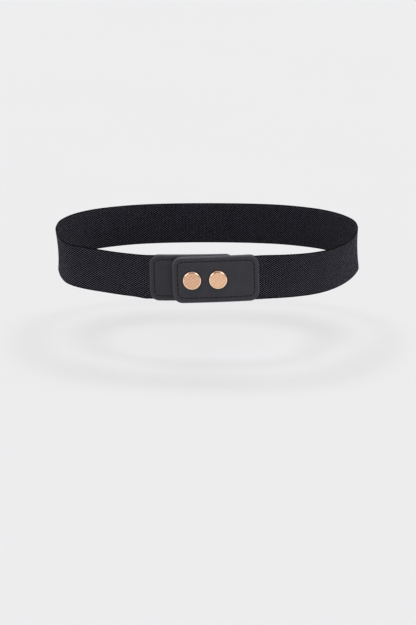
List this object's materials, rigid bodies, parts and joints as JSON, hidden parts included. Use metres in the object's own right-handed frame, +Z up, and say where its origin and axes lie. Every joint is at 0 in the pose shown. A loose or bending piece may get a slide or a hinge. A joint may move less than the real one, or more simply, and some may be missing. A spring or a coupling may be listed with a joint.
{
  "type": "elastic snap waist belt",
  "caption": "Wide black stretch waist belt of woven elastic, with overlapping leather-cloth end tabs closed by a pair of round snap fasteners.",
  "frame": {"origin": "middle of the waist hollow, halfway up the band", "axes": "+X to the wearer's left, which is the right of the front view, +Y to the back, +Z up along the body; the closure faces -Y"},
  "size_m": [0.2639, 0.1979, 0.0409],
  "materials": {
    "elastic": "matt ribbed twill weave",
    "leather_cloth": "semi-matt fine grain",
    "snap_metal": "rose-gold plate, brushed face and polished rim"
  },
  "bodies": {
    "root": {"elastic_band": "elastic", "under_tab": "leather_cloth", "over_tab": "leather_cloth", "snap_cap_left": "snap_metal", "snap_cap_right": "snap_metal", "snap_socket_left": "snap_metal", "snap_socket_right": "snap_metal", "snap_stud_left": "snap_metal", "snap_stud_right": "snap_metal", "snap_eyelet_left": "snap_metal", "snap_eyelet_right": "snap_metal"}
  },
  "joints": []
}
